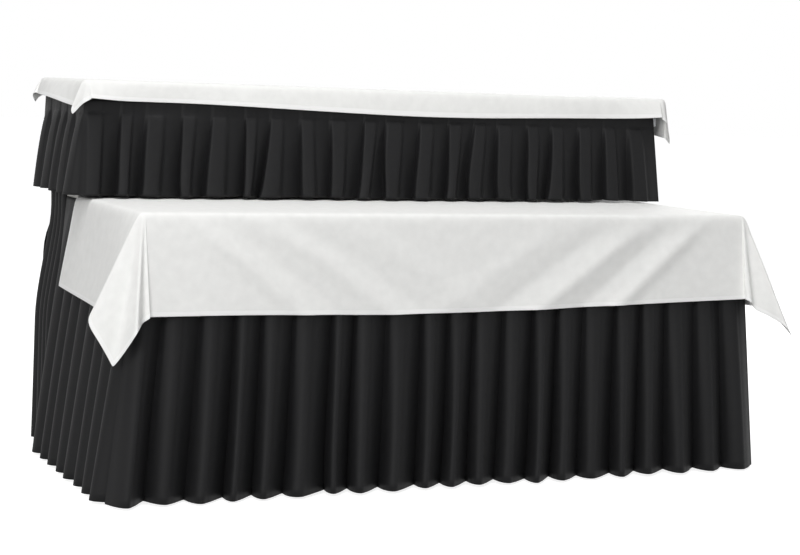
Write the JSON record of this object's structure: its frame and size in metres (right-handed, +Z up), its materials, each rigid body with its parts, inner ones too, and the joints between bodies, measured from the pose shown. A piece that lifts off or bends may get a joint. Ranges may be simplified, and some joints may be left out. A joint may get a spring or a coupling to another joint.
{
  "type": "folding portable bar",
  "caption": "Folding portable bar: a work table with a raised serving shelf behind it on hinged gate frames, dressed in a white cloth with black pleated skirting.",
  "frame": {"origin": "on the floor, under the centre of the dressed bar's bounding box", "axes": "+X along the bar to the right as seen from the work-table side, +Y from the work table to the serving shelf, +Z up"},
  "size_m": [2.0618, 1.1308, 1.0933],
  "materials": {
    "frame_coat": "grey powder coat",
    "hinge_steel": "zinc plated",
    "aluminium": "satin anodised",
    "laminate": "laminated board",
    "clip_plastic": "moulded",
    "rubber": "matt",
    "skirting": "black pleated polyester",
    "linen": "white table linen"
  },
  "bodies": {
    "back_frame": {"lower_back_rail": "frame_coat", "middle_back_rail": "frame_coat", "upper_back_rail": "frame_coat", "left_post": "frame_coat", "left_rear_foot": "rubber", "left_lower_post_hinge": "hinge_steel", "left_upper_post_hinge": "hinge_steel", "right_post": "frame_coat", "right_rear_foot": "rubber", "right_lower_post_hinge": "hinge_steel", "right_upper_post_hinge": "hinge_steel"},
    "left_gate": {"left_front_leg": "frame_coat", "left_front_foot": "rubber", "left_hinge_stile": "frame_coat", "left_table_rail": "frame_coat", "left_low_rail": "frame_coat", "left_shelf_arm": "frame_coat", "left_arm_gusset": "frame_coat", "left_table_grip": "rubber", "left_shelf_grip": "rubber", "left_lower_gate_hinge": "hinge_steel", "left_upper_gate_hinge": "hinge_steel"},
    "right_gate": {"right_front_leg": "frame_coat", "right_front_foot": "rubber", "right_hinge_stile": "frame_coat", "right_table_rail": "frame_coat", "right_low_rail": "frame_coat", "right_shelf_arm": "frame_coat", "right_arm_gusset": "frame_coat", "right_table_grip": "rubber", "right_shelf_grip": "rubber", "right_lower_gate_hinge": "hinge_steel", "right_upper_gate_hinge": "hinge_steel"},
    "table": {"table_panel": "laminate", "table_front_apron": "aluminium", "table_rear_apron": "aluminium", "table_left_apron": "aluminium", "table_right_apron": "aluminium", "table_cloth": "linen", "front_skirt": "skirting", "left_skirt": "skirting", "right_skirt": "skirting", "table_left_clip": "clip_plastic", "table_right_clip": "clip_plastic"},
    "shelf": {"shelf_panel": "laminate", "shelf_front_apron": "aluminium", "shelf_rear_apron": "aluminium", "shelf_left_apron": "aluminium", "shelf_right_apron": "aluminium", "shelf_cloth": "linen", "front_valance": "skirting", "left_valance": "skirting", "rear_skirt": "skirting", "left_return": "skirting", "right_return": "skirting", "shelf_left_clip": "clip_plastic", "shelf_right_clip": "clip_plastic"}
  },
  "joints": [
    {"name": "left_gate_fold", "type": "hinge", "parent": "back_frame", "child": "left_gate", "pos_m": [-0.86, 0.4566, 0.4], "axis": [0, 0, 1], "range_deg": [0, 90]},
    {"name": "right_gate_fold", "type": "hinge", "parent": "back_frame", "child": "right_gate", "pos_m": [0.86, 0.4566, 0.4], "axis": [0, 0, -1], "range_deg": [0, 90]},
    {"name": "table_draw_off", "type": "slide", "parent": "back_frame", "child": "table", "axis": [0, -1, 0], "range_m": [0, 0.75]},
    {"name": "shelf_lift", "type": "slide", "parent": "back_frame", "child": "shelf", "axis": [0, 0, 1], "range_m": [0, 0.3]}
  ]
}
